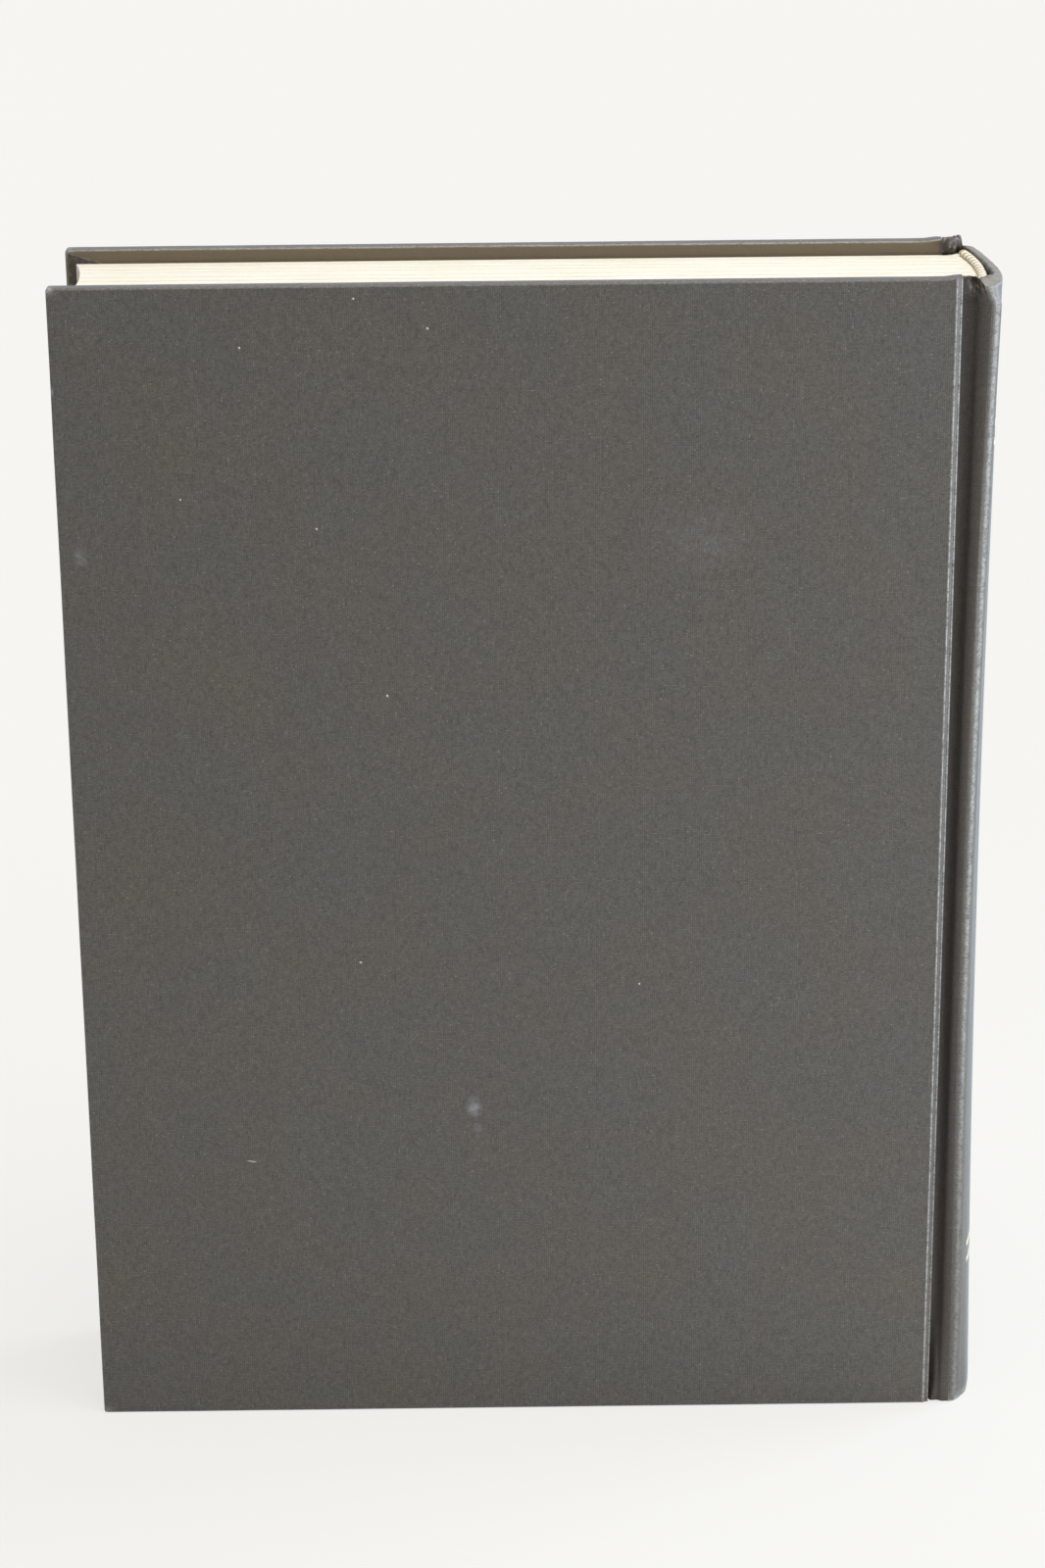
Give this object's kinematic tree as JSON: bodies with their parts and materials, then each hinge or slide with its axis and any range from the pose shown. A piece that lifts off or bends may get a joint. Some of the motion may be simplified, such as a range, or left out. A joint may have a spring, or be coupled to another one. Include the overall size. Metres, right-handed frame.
{
  "type": "hardcover book",
  "caption": "Thick case-bound book in dark grey bookcloth with a rounded hollow spine, pressed joint grooves, striped headbands and two covers that open.",
  "frame": {"origin": "under the middle of the book, on the surface that it stands on", "axes": "+Z from the tail to the head, +X from the fore-edge to the spine, -Y out of the rear cover"},
  "size_m": [0.2172, 0.046, 0.286],
  "materials": {
    "bookcloth": "dark grey woven bookcloth, dull, a little polished along the edges",
    "page_paper": "cream trimmed page edges",
    "endpaper": "plain cream endpaper",
    "kraft_paper": "brown lining paper over gauze",
    "band_thread": "cream band with fine dark stripes",
    "spine_card": "grey card",
    "binders_board": "dense grey binder's board"
  },
  "bodies": {
    "book_block": {"text_block": "page_paper", "rear_flyleaf": "endpaper", "front_flyleaf": "endpaper", "spine_lining": "kraft_paper", "headband": "band_thread", "tailband": "band_thread", "spine_inlay": "spine_card", "spine_cloth": "bookcloth", "rear_joint_cloth": "bookcloth", "front_joint_cloth": "bookcloth"},
    "rear_cover": {"rear_board": "binders_board", "rear_cover_cloth": "bookcloth", "rear_pastedown": "endpaper"},
    "front_cover": {"front_board": "binders_board", "front_cover_cloth": "bookcloth", "front_pastedown": "endpaper"}
  },
  "joints": [
    {"name": "rear_cover_hinge", "type": "hinge", "parent": "book_block", "child": "rear_cover", "pos_m": [0.10373, -0.01895, 0.143], "axis": [0, 0, 1], "range_deg": [0, 178], "deforming": ["rear_joint_cloth"]},
    {"name": "front_cover_hinge", "type": "hinge", "parent": "book_block", "child": "front_cover", "pos_m": [0.10373, 0.01895, 0.143], "axis": [0, 0, -1], "range_deg": [0, 178], "deforming": ["front_joint_cloth"]}
  ]
}
